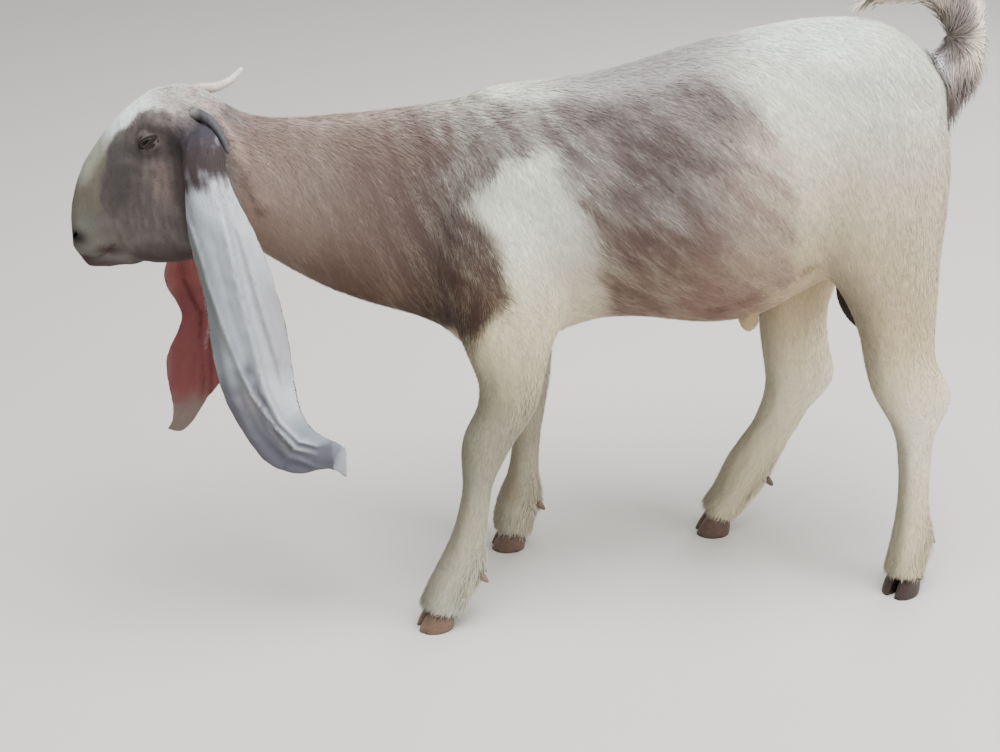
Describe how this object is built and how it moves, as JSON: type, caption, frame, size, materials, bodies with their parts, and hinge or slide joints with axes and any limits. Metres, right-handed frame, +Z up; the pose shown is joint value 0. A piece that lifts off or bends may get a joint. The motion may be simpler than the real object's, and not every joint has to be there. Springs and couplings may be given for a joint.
{
  "type": "goat",
  "caption": "Life-size standing young buck goat with a curved nose, very long hanging ears, head reached low and tail curled over its back",
  "frame": {"origin": "middle of the floor under the goat's bounding box, level with the soles", "axes": "-X is where the goat faces, +X its rump, -Y its left side, +Z up"},
  "size_m": [0.935, 0.2222, 0.6914],
  "materials": {
    "coat_body": "short coat: reddish-brown roan barrel and neck, cream-white legs, rump and shoulder patch",
    "coat_face": "short grey-brown coat with a cream blaze down the nose",
    "coat_tail": "longer grey-brown hair with a white fringe",
    "coat_ear": "very short white hair over pink and slate skin",
    "eye": "wet amber-brown eye with a level slot pupil",
    "horn": "slate horn with growth rings, paler at the tip",
    "hoof": "pinkish-brown hoof horn, dull, with growth rings",
    "dark_skin": "dark grey skin under thin short hair"
  },
  "bodies": {
    "root": {"trunk": "coat_body", "neck": "coat_body", "foreleg_left": "coat_body", "foreleg_right": "coat_body", "hindleg_left": "coat_body", "hindleg_right": "coat_body", "head": "coat_face", "tail": "coat_tail", "ear_left": "coat_ear", "eye_left": "eye", "horn_left": "horn", "ear_right": "coat_ear", "eye_right": "eye", "horn_right": "horn", "sheath": "coat_body", "scrotum": "dark_skin", "claw_inner_foreleg_left": "hoof", "dewclaw_inner_foreleg_left": "hoof", "claw_outer_foreleg_left": "hoof", "dewclaw_outer_foreleg_left": "hoof", "claw_inner_foreleg_right": "hoof", "dewclaw_inner_foreleg_right": "hoof", "claw_outer_foreleg_right": "hoof", "dewclaw_outer_foreleg_right": "hoof", "claw_inner_hindleg_left": "hoof", "dewclaw_inner_hindleg_left": "hoof", "claw_outer_hindleg_left": "hoof", "dewclaw_outer_hindleg_left": "hoof", "claw_inner_hindleg_right": "hoof", "dewclaw_inner_hindleg_right": "hoof", "claw_outer_hindleg_right": "hoof", "dewclaw_outer_hindleg_right": "hoof"}
  },
  "joints": []
}
